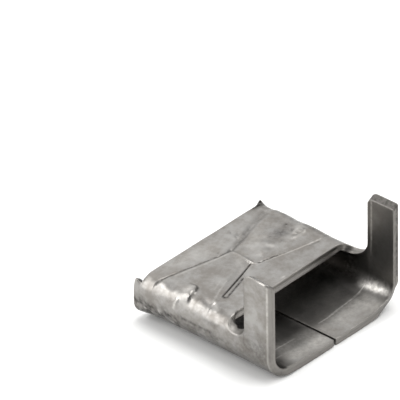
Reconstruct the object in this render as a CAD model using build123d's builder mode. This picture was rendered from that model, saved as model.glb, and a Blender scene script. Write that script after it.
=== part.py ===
"""Strapping buckle: one steel strip folded into a flat sleeve, with two ears standing at its front.

X runs across the sleeve, Y along the band's path from the ears to the rear, and Z up from the
face that the buckle rests on. The origin is at the middle of that face. The strip's two ends
meet in an open butt seam along the middle of the bottom wall.
"""

import os
from dataclasses import dataclass
from math import degrees, hypot, radians, sin, tan

from build123d import *

os.makedirs("parts", exist_ok=True)

# Strip
sheet = 1.0
seam_gap = 0.3

# Sleeve, outside
sleeve_width = 24.0
sleeve_length = 22.7
sleeve_height = 6.7
bottom_bend = 3.5
top_bend = 2.2
rest_width = 6.0
rest_blend = 20.0
belly_angle = 3.9

# From the ears' front to the top wall's front edge
top_setback = 7.5

# Ears: each end falls inwards through the sheet, and may drop towards its front
left_ear_width = 4.05
left_ear_height = 14.9
left_ear_drop = 0.3
right_ear_width = 4.4
right_ear_height = 15.1
right_ear_drop = 0.0
ear_tip_fall = 0.5
ear_back_round = 1.1
ear_front_round = 0.3

# Floors of the slots behind the ears, above the start of the top bend
left_slot_setback = 0.9
right_slot_setback = 1.45

# Rear recess of the top wall: its depth at each side, and how far it reaches round each top bend
recess_left_depth = 1.0
recess_right_depth = 0.75
recess_left_angle = 58.0
recess_right_angle = 45.0

# Pressed cross of the top wall: two raised panels that meet at a narrow waist
press_rise = 0.3
press_flank = 0.35
press_shoulder = 2.4
press_groove = 0.3
waist_to_rear = 4.6
waist_to_front = 5.85
arm_to_rear = 2.1
arm_to_front = 3.0

# How far a cutting shape reaches past what it cuts
clear = 1.0

# Places that follow from the sizes
side_x = sleeve_width / 2
front_y = -sleeve_length / 2
rear_y = sleeve_length / 2
top_front_y = front_y + top_setback
top_rear_y = rear_y - (recess_left_depth + recess_right_depth) / 2
bend_z = sleeve_height - top_bend
bend_x = side_x - top_bend
belly_x = rest_width / 2
belly_rise = (side_x - belly_x) * tan(radians(belly_angle))


@dataclass(frozen=True)
class Ear:
    """One ear and the slot behind it; its side is -1 on the left and 1 on the right.

    The slot ends in a half round, punched while the strip was flat. On the ear's side it stays
    flat, and on the sleeve's side it is wrapped on the top bend, so it comes out lower there.
    """

    side: int
    width: float
    height: float
    drop: float
    slot_setback: float

    @property
    def back_y(self):
        """Back edge of the ear, where the slot starts."""
        return front_y + self.width

    @property
    def slot_round(self):
        """Radius of the slot's half round."""
        return (top_front_y - self.back_y) / 2

    @property
    def round_height(self):
        """Length of strip from the start of the bend to the top of the half round."""
        return self.slot_setback + self.slot_round

    @property
    def wrap_angle(self):
        """How far round the top bend the half round reaches, in degrees."""
        return degrees(self.round_height / top_bend)


ears = (
    Ear(-1, left_ear_width, left_ear_height, left_ear_drop, left_slot_setback),
    Ear(1, right_ear_width, right_ear_height, right_ear_drop, right_slot_setback),
)


def across(y):
    """Section plane at a place along the sleeve, seen from the front."""
    return Plane.XZ.offset(-y)


def wrap_section(y):
    """Closed section of the folded strip, with its seam."""
    with BuildSketch(across(y)) as section:
        with BuildLine():
            FilletPolyline(
                (belly_x, 0),
                (side_x, belly_rise),
                (side_x, sleeve_height),
                (-side_x, sleeve_height),
                (-side_x, belly_rise),
                (-belly_x, 0),
                radius=[rest_blend, bottom_bend, top_bend, top_bend, bottom_bend, rest_blend],
                close=True,
            )
        make_face()
        offset(amount=-sheet, mode=Mode.SUBTRACT)
        Rectangle(seam_gap, 2 * sheet + clear, mode=Mode.SUBTRACT)
    return section.sketch


def ear_section(ear):
    """Section of a side wall where it runs on, straight, into its ear."""
    with BuildSketch(across(ear.back_y)) as section:
        with Locations((ear.side * (side_x - sheet / 2), bend_z)):
            Rectangle(sheet, ear.round_height, align=(Align.CENTER, Align.MIN))
    return section.sketch


def bend_section(ear):
    """Section of the top bend, as far round as the slot's half round reaches."""
    start = 0 if ear.side > 0 else 180
    turn = ear.side * ear.wrap_angle
    centre = (ear.side * bend_x, bend_z)
    with BuildSketch(across(top_front_y)) as section:
        with BuildLine():
            outer = CenterArc(centre, top_bend, start, turn)
            inner = CenterArc(centre, top_bend - sheet, start, turn)
            Line(outer @ 0, inner @ 0)
            Line(outer @ 1, inner @ 1)
        make_face()
    return section.sketch


def ear_profile(ear):
    """Outline of an ear on the outer face of its side wall, seen from the right."""
    with BuildSketch(Plane.YZ.offset(ear.side * side_x)) as profile:
        with BuildLine():
            FilletPolyline(
                (front_y, bend_z),
                (front_y, ear.height - ear.drop),
                (ear.back_y, ear.height),
                (ear.back_y, bend_z),
                radius=[0, ear_front_round, ear_back_round, 0],
                close=True,
            )
        make_face()
    return profile.sketch


def slot_profile(ear):
    """Outline of a slot, seen from the right: a half round that opens upwards."""
    top_z = sleeve_height + clear
    middle_y = ear.back_y + ear.slot_round
    floor_z = bend_z + ear.slot_setback
    wrapped_z = bend_z + top_bend * sin(radians(ear.wrap_angle))
    with BuildSketch(Plane.YZ) as profile:
        with BuildLine():
            flat_side = CenterArc((middle_y, floor_z + ear.slot_round), ear.slot_round, 180, 90)
            wrapped_side = EllipticalCenterArc(
                (middle_y, wrapped_z), ear.slot_round, wrapped_z - floor_z, 270, arc_size=90
            )
            Polyline(
                flat_side @ 0,
                (ear.back_y, top_z),
                (top_front_y, top_z),
                wrapped_side @ 1,
            )
        make_face()
    return profile.sketch


def panel_outline(side, height, flank, shoulder):
    """Outline of one raised panel at a height, drawn in from its foot by flank and shoulder."""
    inner_x = press_groove / 2 + flank
    outer_x = bend_x - shoulder
    rise = (waist_to_rear - arm_to_rear) / bend_x
    fall = (waist_to_front - arm_to_front) / bend_x
    rear_waist = top_rear_y - waist_to_rear - flank
    front_waist = top_front_y + waist_to_front + flank
    with BuildSketch(Plane.XY.offset(height)) as outline:
        with BuildLine():
            Polyline(
                (side * inner_x, front_waist - fall * inner_x),
                (side * outer_x, front_waist - fall * outer_x),
                (side * outer_x, rear_waist + rise * outer_x),
                (side * inner_x, rear_waist + rise * inner_x),
                close=True,
            )
        make_face()
    return outline.sketch


def rear_recess():
    """What is cut from the top wall's rear, square to the bends at both ends."""
    reach = top_bend + clear
    left_run = reach * tan(radians(recess_left_angle))
    right_run = reach * tan(radians(recess_right_angle))
    deepest = max(recess_left_depth, recess_right_depth)
    with BuildPart() as recess:
        with BuildSketch(across(rear_y)):
            Polygon(
                (-bend_x, bend_z),
                (bend_x, bend_z),
                (bend_x + right_run, bend_z + reach),
                (-bend_x - left_run, bend_z + reach),
                align=None,
            )
        extrude(amount=deepest)
        with BuildSketch(Plane.XY.offset(bend_z)):
            Polygon(
                (-side_x, rear_y),
                (-side_x, rear_y - recess_left_depth),
                (side_x, rear_y - recess_right_depth),
                (side_x, rear_y),
                align=None,
            )
        extrude(amount=reach, mode=Mode.INTERSECT)
    return recess.part


with BuildPart() as buckle:
    # The wrapped sleeve, open to the top ahead of the top wall
    extrude(wrap_section(front_y), amount=-sleeve_length)
    with Locations((0, top_front_y, bend_z)):
        Box(
            sleeve_width + clear,
            top_setback + clear,
            sleeve_height,
            align=(Align.CENTER, Align.MAX, Align.MIN),
            mode=Mode.SUBTRACT,
        )

    # Ears, the walls that pass from straight to bent beside them, and the slots cut there
    for ear in ears:
        inwards = (-ear.side * sheet, 0, -ear_tip_fall)
        extrude(ear_profile(ear), amount=hypot(sheet, ear_tip_fall), dir=inwards)
        loft([ear_section(ear), bend_section(ear)])
        extrude(slot_profile(ear), amount=ear.side * sleeve_width, mode=Mode.SUBTRACT)

    add(rear_recess(), mode=Mode.SUBTRACT)

    # Pressed cross: the panels stand proud outside and are hollow by as much inside
    for side in (-1, 1):
        loft(
            [
                panel_outline(side, sleeve_height, 0, 0),
                panel_outline(side, sleeve_height + press_rise, press_flank, press_shoulder),
            ]
        )
        loft(
            [
                panel_outline(side, sleeve_height - sheet, 0, 0),
                panel_outline(side, sleeve_height - sheet + press_rise, press_flank, press_shoulder),
            ],
            mode=Mode.SUBTRACT,
        )

buckle.part.label = "buckle"
export_step(buckle.part, "parts/buckle.step")
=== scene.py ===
"""Strapping buckle: the looks of a steel strip that was punched, pressed and folded into a sleeve.

The strip is made here as a press shop makes it. A flat blank is punched with its two ears, its
slots and its rear recess. It is given its thickness and its rolled edges, marked by the die,
and wrapped round into the sleeve, with the ears left standing. Sizes are in millimetres until
the finished mesh is brought to metres.
"""

import logging
import math
from collections.abc import Sequence
from dataclasses import dataclass, field
from enum import Enum
from functools import reduce

import bpy
import numpy as np
from mathutils import Matrix, Vector, noise


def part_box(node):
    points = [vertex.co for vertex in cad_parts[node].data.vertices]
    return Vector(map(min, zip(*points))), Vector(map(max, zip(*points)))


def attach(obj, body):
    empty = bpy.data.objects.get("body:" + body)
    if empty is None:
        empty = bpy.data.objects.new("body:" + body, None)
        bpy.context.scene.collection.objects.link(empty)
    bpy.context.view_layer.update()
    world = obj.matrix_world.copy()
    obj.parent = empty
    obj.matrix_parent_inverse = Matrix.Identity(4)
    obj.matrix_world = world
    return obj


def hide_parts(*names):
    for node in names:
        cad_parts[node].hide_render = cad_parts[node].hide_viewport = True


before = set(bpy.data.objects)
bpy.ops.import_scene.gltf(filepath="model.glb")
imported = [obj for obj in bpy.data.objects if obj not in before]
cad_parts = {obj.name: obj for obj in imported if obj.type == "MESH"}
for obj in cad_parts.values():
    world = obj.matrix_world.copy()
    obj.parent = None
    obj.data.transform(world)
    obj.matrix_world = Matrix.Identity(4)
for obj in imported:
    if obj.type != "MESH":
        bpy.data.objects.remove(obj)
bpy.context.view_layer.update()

log = logging.getLogger("strapping_buckle")

MM = 0.001
NODE = "buckle"

Bound = tuple[float, float]
Points = tuple[Bound, ...]
Values = np.ndarray


class Field(Enum):
    """Values kept on the mesh's points, which the finish reads."""

    EDGE = "cut_edge"
    # Soiling, and painted shade in creases, pits, recesses, under the bends and inside the sleeve
    GRIME_AND_SHADE = "grime_and_shade"
    # Burnished wear, and painted highlights on edges, ridges, bends and the open floor
    BURNISH_AND_HIGHLIGHT = "burnish_and_highlight"
    # Painted shade of the inner face, less where the floor is open to the light
    INSIDE = "painted_inner_shade"


# Helpers


def smooth(value: Values) -> Values:
    """Eases a value from 0 to 1, flat at both ends.

    Args:
        value: Any numbers; below 0 gives 0 and above 1 gives 1.

    Returns:
        The eased values.
    """
    share = np.clip(value, 0.0, 1.0)
    return share * share * (3.0 - 2.0 * share)


def joined_voids(a: Values, b: Values, radius: float) -> Values:
    """Joins two voids and rounds the corner of metal that is left between them.

    Args:
        a: Distance into the metal from the first void, negative inside it.
        b: The same for the second void.
        radius: Radius of the corner.

    Returns:
        Distance into the metal from both voids together.
    """
    overlap = np.hypot(np.maximum(radius - a, 0.0), np.maximum(radius - b, 0.0))
    return np.maximum(radius, np.minimum(a, b)) - overlap


def window(a: Values, b: Values, radius: float) -> Values:
    """Gives the distance from a square-cornered void, with its own corners rounded.

    Args:
        a: Distance past the void's end in one direction, negative inside.
        b: Distance past it in the other direction.
        radius: Radius of the void's corners.

    Returns:
        Distance into the metal, negative inside the void.
    """
    a, b = a + radius, b + radius
    outside = np.hypot(np.maximum(a, 0.0), np.maximum(b, 0.0))
    return outside + np.minimum(np.maximum(a, b), 0.0) - radius


def along(line: Points, s: Values) -> Values:
    """Reads a line's place along the sleeve at places across it.

    Args:
        line: Points (across, along) in rising order across.
        s: Places across.

    Returns:
        The line's place along the sleeve at each of them.
    """
    across, rear = zip(*line)
    return np.interp(s, across, rear)


def ripple(s: Values, y: Values, size: float, seed: float) -> Values:
    """Gives an even, seeded unevenness from about -1 to 1.

    Args:
        s: Places across the strip.
        y: Places along it.
        size: Width of one swell in millimetres.
        seed: Which unevenness it is.

    Returns:
        One value for each place.
    """
    return np.array([noise.noise((a / size, b / size, seed)) for a, b in zip(s, y)])


def bell(away: Values, width: float) -> Values:
    """Gives 1 where a distance is 0, and less and less to both sides, over a width."""
    return np.exp(-((away / width) ** 2))


def most(*values: Values) -> Values:
    """Gives the greatest of several values at each place."""
    return reduce(np.maximum, values)


def zone(
    s: Values,
    y: Values,
    inner: Bound | None = None,
    outer: Bound | None = None,
    front: Bound | None = None,
    rear: Bound | None = None,
    side: int = 0,
) -> Values:
    """Gives how much of a soft-edged stretch of the strip is at each place.

    Each bound is a place and the width over which the stretch eases in or out there.

    Args:
        s: Places across the strip.
        y: Places along the sleeve.
        inner: Where it starts, out from the top's middle.
        outer: Where it ends.
        front: Its front end.
        rear: Its rear end.
        side: -1 or 1 for the left or the right half alone, 0 for both.

    Returns:
        Shares from 0 to 1.
    """
    out = side * s if side else np.abs(s)
    share = np.ones_like(s)
    for value, bound, way in ((out, inner, 1), (out, outer, -1), (y, front, 1), (y, rear, -1)):
        if bound:
            share *= smooth(way * (value - bound[0]) / bound[1])
    return share


def linear(hex_colour: str) -> tuple[float, float, float, float]:
    """Turns an sRGB hex colour to the linear colour that a shader takes."""
    channels = [int(hex_colour[i : i + 2], 16) / 255 for i in (1, 3, 5)]
    return (*[c / 12.92 if c <= 0.04045 else ((c + 0.055) / 1.055) ** 2.4 for c in channels], 1.0)


def enter(obj: bpy.types.Object, mode: str) -> None:
    """Makes one object the only selected and active one, in the given mode."""
    if bpy.context.object and bpy.context.object.mode != "OBJECT":
        bpy.ops.object.mode_set(mode="OBJECT")
    bpy.ops.object.select_all(action="DESELECT")
    obj.select_set(True)
    bpy.context.view_layer.objects.active = obj
    if mode != "OBJECT":
        bpy.ops.object.mode_set(mode=mode)


def pick(obj: bpy.types.Object, kind: str, chosen: Values) -> None:
    """Selects some vertices, edges or faces of an object and enters edit mode with them.

    Args:
        obj: The object.
        kind: VERT, EDGE or FACE.
        chosen: One true or false value for each.
    """
    enter(obj, "EDIT")
    bpy.ops.mesh.select_mode(type=kind)
    bpy.ops.mesh.select_all(action="DESELECT")
    bpy.ops.object.mode_set(mode="OBJECT")
    items = {"VERT": obj.data.vertices, "EDGE": obj.data.edges, "FACE": obj.data.polygons}[kind]
    items.foreach_set("select", chosen)
    bpy.ops.object.mode_set(mode="EDIT")


def places(mesh: bpy.types.Mesh) -> Values:
    """Reads a mesh's points as rows of three numbers."""
    flat = np.empty(len(mesh.vertices) * 3)
    mesh.vertices.foreach_get("co", flat)
    return flat.reshape(-1, 3)


def set_places(mesh: bpy.types.Mesh, points: Values) -> None:
    """Writes a mesh's points from rows of three numbers."""
    mesh.vertices.foreach_set("co", points.ravel())
    mesh.update()


def add_node(
    tree: bpy.types.NodeTree,
    kind: str,
    settings: dict[str, object] | None = None,
    inputs: dict[str | int, object] | None = None,
) -> bpy.types.Node:
    """Adds a node to a shader.

    Args:
        tree: The shader's node tree.
        kind: The node's class.
        settings: Properties of the node.
        inputs: For each input a plain value, or the output socket that is linked to it.

    Returns:
        The new node.
    """
    node = tree.nodes.new(kind)
    for name, value in (settings or {}).items():
        setattr(node, name, value)
    for name, value in (inputs or {}).items():
        if isinstance(value, bpy.types.NodeSocket):
            tree.links.new(value, node.inputs[name])
        else:
            node.inputs[name].default_value = value
    return node


# The folded section


@dataclass(frozen=True)
class Sleeve:
    """Outer section of the wrapped strip, and where the strip's width lies on it."""

    width: float
    length: float
    height: float = 6.7
    bottom_bend: float = 3.5
    top_bend: float = 2.2
    rest_width: float = 6.0
    rest_blend: float = 20.0
    belly_angle: float = math.radians(3.9)
    seam_gap: float = 0.3

    @property
    def side_x(self) -> float:
        """Outer face of a side wall."""
        return self.width / 2

    @property
    def bend_z(self) -> float:
        """Height at which the side wall starts to bend into the top wall."""
        return self.height - self.top_bend

    @property
    def bend_end(self) -> float:
        """Place on the strip where the top bend ends in the side wall."""
        return self.side_x - self.top_bend + self.top_bend * math.pi / 2

    def stretches(self) -> list[tuple[float, float]]:
        """Lists the strip's stretches from the top's middle to the seam, as length and turn."""
        belly_half = self.rest_width / 2
        belly_run = self.side_x - belly_half
        bottom_turn = math.pi / 2 - self.belly_angle
        bottom_reach = self.bottom_bend * math.tan(bottom_turn / 2)
        blend_reach = self.rest_blend * math.tan(self.belly_angle / 2)
        side_run = self.bend_z - belly_run * math.tan(self.belly_angle) - bottom_reach
        belly = belly_run / math.cos(self.belly_angle) - bottom_reach - blend_reach
        return [
            (self.side_x - self.top_bend, 0.0),
            (self.top_bend * math.pi / 2, math.pi / 2),
            (side_run, 0.0),
            (self.bottom_bend * bottom_turn, bottom_turn),
            (belly, 0.0),
            (self.rest_blend * self.belly_angle, self.belly_angle),
            (belly_half - blend_reach - self.seam_gap / 2, 0.0),
        ]

    @property
    def half_strip(self) -> float:
        """Length of the strip from the top's middle to the seam."""
        return sum(length for length, _ in self.stretches())

    def wrap(self, s: Values) -> tuple[Values, Values, Values, Values]:
        """Wraps the strip round the section.

        Args:
            s: Places on the strip, from the top's middle, positive to the right.

        Returns:
            Across and up of the outer face, and across and up of its outward normal.
        """
        side = np.where(s < 0, -1.0, 1.0)
        heading = np.zeros_like(s)
        x = np.zeros_like(s)
        z = np.full_like(s, self.height)
        start, begun = 0.0, 0.0
        for length, turn in self.stretches():
            run = np.clip(np.abs(s) - begun, 0.0, length)
            if turn:
                radius = length / turn
                x += radius * (np.sin(start + run / radius) - math.sin(start))
                z += radius * (np.cos(start + run / radius) - math.cos(start))
                heading += run / radius
            else:
                x += run * math.cos(start)
                z -= run * math.sin(start)
            start += turn
            begun += length
        return side * x, z, side * np.sin(heading), np.cos(heading)

    def place(self, s: Values, bent: Values) -> tuple[Values, ...]:
        """Places the strip, bent over at the top or left standing as an ear.

        Args:
            s: Places on the strip.
            bent: For each, 0 where it stands and 1 where it is bent over.

        Returns:
            What wrap returns.
        """
        x, z, nx, nz = self.wrap(s)
        side = np.where(s < 0, -1.0, 1.0)
        above = np.abs(s) < self.bend_end
        share = np.where(above, bent, 1.0)
        x = share * x + (1 - share) * side * self.side_x
        z = share * z + (1 - share) * (self.bend_z + self.bend_end - np.abs(s))
        nx = share * nx + (1 - share) * side
        nz = share * nz
        size = np.hypot(nx, nz)
        return x, z, nx / size, nz / size


@dataclass(frozen=True)
class Ear:
    """One standing ear and the slot that is punched behind it."""

    width: float
    height: float
    slot_setback: float
    drop: float = 0.0


@dataclass(frozen=True)
class Blank:
    """Outline of the flat strip: its ears, the slots behind them and the rear recess."""

    sleeve: Sleeve
    left: Ear
    right: Ear
    ear_back_round: float = 1.1
    ear_front_round: float = 0.25
    corner_round: float = 0.2
    nub_round: float = 0.08
    recess_left_angle: float = math.radians(58)
    recess_right_angle: float = math.radians(45)
    roof_line: Points = (
        (-12.0, -3.86), (-8.5, -3.86), (-2.0, -3.68), (1.0, -3.62), (8.0, -3.52), (12.0, -3.45),
    )
    recess_line: Points = (
        (-12.0, 10.4), (-10.6, 10.3), (0.0, 10.4), (8.5, 10.5), (10.5, 10.6), (12.0, 10.65),
    )
    recess_round: float = 0.1

    @property
    def front(self) -> float:
        """Front edge of the ears and the bottom wall."""
        return -self.sleeve.length / 2

    def top_front(self, s: Values) -> Values:
        """Front edge of the top wall at places across it."""
        return along(self.roof_line, s)

    def ear_back(self, s: Values) -> Values:
        """Back edge of the ear on the side of each place."""
        return self.front + np.where(s < 0, self.left.width, self.right.width)

    def past_tip(self, s: Values, y: Values) -> Values:
        """Measures how far each place lies below the end of the ear on its side.

        Args:
            s: Places across the strip.
            y: Places along the sleeve.

        Returns:
            Distance down from the ear's end, negative beyond it.
        """
        sleeve = self.sleeve
        forward = np.clip((self.ear_back(s) - y) / (self.ear_back(s) - self.front), 0.0, 1.0)
        left = self.left.height - self.left.drop * forward
        right = self.right.height - self.right.drop * forward
        return np.abs(s) - sleeve.bend_end - sleeve.bend_z + np.where(s < 0, left, right)

    def depth(self, s: Values, y: Values) -> Values:
        """Measures how far a place lies inside the punched outline.

        Args:
            s: Places across the strip.
            y: Places along the sleeve.

        Returns:
            Distance to the nearest cut edge, negative where the metal is punched away.
        """
        sleeve = self.sleeve
        setback = np.where(s < 0, self.left.slot_setback, self.right.slot_setback)
        slot_round = (self.top_front(s) - self.ear_back(s)) / 2
        past_end = np.maximum(np.abs(s) - (sleeve.bend_end - setback - slot_round), 0.0)
        ahead = y - (self.top_front(s) - slot_round)
        slots = np.hypot(past_end, ahead) - slot_round
        gap = window(self.past_tip(s, y), ahead, 0.0)

        recess_angle = np.where(s < 0, self.recess_left_angle, self.recess_right_angle)
        recess_end = sleeve.side_x + sleeve.top_bend * (recess_angle - 1)
        recess = window(np.abs(s) - recess_end, along(self.recess_line, s) - y, self.recess_round)

        ends = joined_voids(
            sleeve.half_strip - np.abs(s), sleeve.length / 2 - np.abs(y), self.corner_round
        )
        openings = joined_voids(slots, gap, self.ear_back_round)
        openings = joined_voids(openings, ends, self.ear_front_round)
        return joined_voids(openings, recess, self.nub_round)

    def slide(self, s: Values, y: Values, depth: float) -> tuple[Values, Values]:
        """Slides places to a given distance from the cut edge, by the shortest way.

        Args:
            s: Places across the strip.
            y: Places along the sleeve.
            depth: The distance from the edge that they go to.

        Returns:
            The new places.
        """
        nudge, rounds, flattest = 1e-4, 6, 0.25
        for _ in range(rounds):
            here = self.depth(s, y)
            slope_s = (self.depth(s + nudge, y) - here) / nudge
            slope_y = (self.depth(s, y + nudge) - here) / nudge
            steep = np.maximum(slope_s**2 + slope_y**2, flattest)
            s = s + slope_s * (depth - here) / steep
            y = y + slope_y * (depth - here) / steep
        return s, y


# What the press and the tumbling leave on the strip, with painted shade and highlights


@dataclass(frozen=True)
class Crease:
    """A narrow ridge or groove along a line."""

    line: Points
    lift: float
    reach: float
    grime_and_shade: float = 0.0
    shine: float = 0.0

    def weight(self, s: Values, y: Values) -> Values:
        """Gives how much of the crease is at a place, from 0 to 1."""
        nearest = np.full_like(s, np.inf)
        for (s0, y0), (s1, y1) in zip(self.line[:-1], self.line[1:]):
            run = (s1 - s0) ** 2 + (y1 - y0) ** 2
            share = np.clip(((s - s0) * (s1 - s0) + (y - y0) * (y1 - y0)) / run, 0.0, 1.0)
            away = np.hypot(s - s0 - share * (s1 - s0), y - y0 - share * (y1 - y0))
            nearest = np.minimum(nearest, away)
        return bell(nearest, self.reach)


@dataclass(frozen=True)
class Dent:
    """A small oval dent, or a bump where its lift is positive."""

    s: float
    y: float
    long: float
    short: float
    turn: float
    lift: float
    grime_and_shade: float = 0.0
    shine: float = 0.0

    def weight(self, s: Values, y: Values) -> Values:
        """Gives how much of the dent is at a place, from 0 to 1."""
        turn = math.radians(self.turn)
        ahead = (s - self.s) * math.cos(turn) + (y - self.y) * math.sin(turn)
        beside = (y - self.y) * math.cos(turn) - (s - self.s) * math.sin(turn)
        return np.exp(-((ahead / self.long) ** 2 + (beside / self.short) ** 2))


@dataclass(frozen=True)
class PressedCross:
    """The die's cross on the top wall: two raised panels between a rear and a front crease.

    Behind the front crease each panel rises by a step and a slope, whose widths differ.
    """

    rise: float = 0.3
    rear_line: Points = (
        (-11.6, 8.5), (-9.9, 8.0), (-4.85, 6.86), (0.0, 5.85), (3.0, 6.67), (8.3, 8.28), (11.0, 8.7),
    )
    rear_widths: Points = ((-11.0, 0.3), (-1.0, 0.35), (1.5, 1.0), (9.0, 1.5))
    front_line: Points = (
        (-9.5, -0.55), (-7.3, 0.02), (-0.5, 2.05), (-0.1, 1.3), (1.6, 0.95), (5.7, -0.05), (9.5, -0.75),
    )
    left_step: tuple[float, float, float] = (0.22, 0.2, 1.6)
    right_step: tuple[float, float, float] = (0.18, 0.24, 3.5)
    groove_line: Points = ((-8.2, -0.8), (-7.3, -0.56), (-0.5, 1.47))
    knots: tuple[float, ...] = (-3.5, 0.3, 7.3, 10.2)

    def lift(self, s: Values, y: Values, soften: float) -> Values:
        """Gives the height of the pressed cross at places on the strip.

        Args:
            s: Places across the strip.
            y: Places along the sleeve.
            soften: Width that is added to each step, larger on the inner face.

        Returns:
            Heights over the flat wall.
        """
        rear_width = along(self.rear_widths, s) + soften
        rear = smooth((along(self.rear_line, s) - y) / rear_width + 0.3)
        behind = y - along(self.front_line, s)
        left, right = (
            step * smooth(behind / (step_width + soften) + 0.5) + (1 - step) * smooth(behind / slope_width)
            for step, step_width, slope_width in (self.left_step, self.right_step)
        )
        left_share = smooth(-s / 0.8)
        front = left_share * left + (1 - left_share) * right
        return self.rise * rear * front * zone(s, y, outer=(12.6, 2.6))

    def follow(self, s: Values, y: Values) -> Values:
        """Moves even rows so that they run along both creases, closer together beside them.

        Args:
            s: Places across the strip.
            y: Places along the sleeve, in even rows.

        Returns:
            The rows' new places along the sleeve.
        """
        shift = np.zeros_like(y)
        gathered = y.copy()
        for line, knots in ((self.front_line, self.knots[:3]), (self.rear_line, self.knots[1:])):
            before, row, after = knots
            guide = sum(along(line, s + step) for step in (-0.4, -0.2, 0.0, 0.2, 0.4)) / 5
            gathered -= 0.5 * (y - row) * bell(y - row, 1.2)
            share = np.minimum((y - before) / (row - before), (after - y) / (after - row))
            shift += np.clip(share, 0.0, 1.0) * (guide - row)
        return y + zone(s, y, outer=(13.2, 1.8)) * (shift + gathered - y)

    def groove(self, s: Values, y: Values) -> Values:
        """Gives how much of the pinched groove before the left panel is at a place."""
        ahead = smooth((y - along(self.groove_line, s)) / 0.35 + 0.5)
        behind = smooth((along(self.front_line, s) - y) / 0.2 + 0.5)
        return ahead * behind * zone(s, y, inner=(1.2, 2.5), outer=(8.4, 0.4), side=-1)


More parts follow.
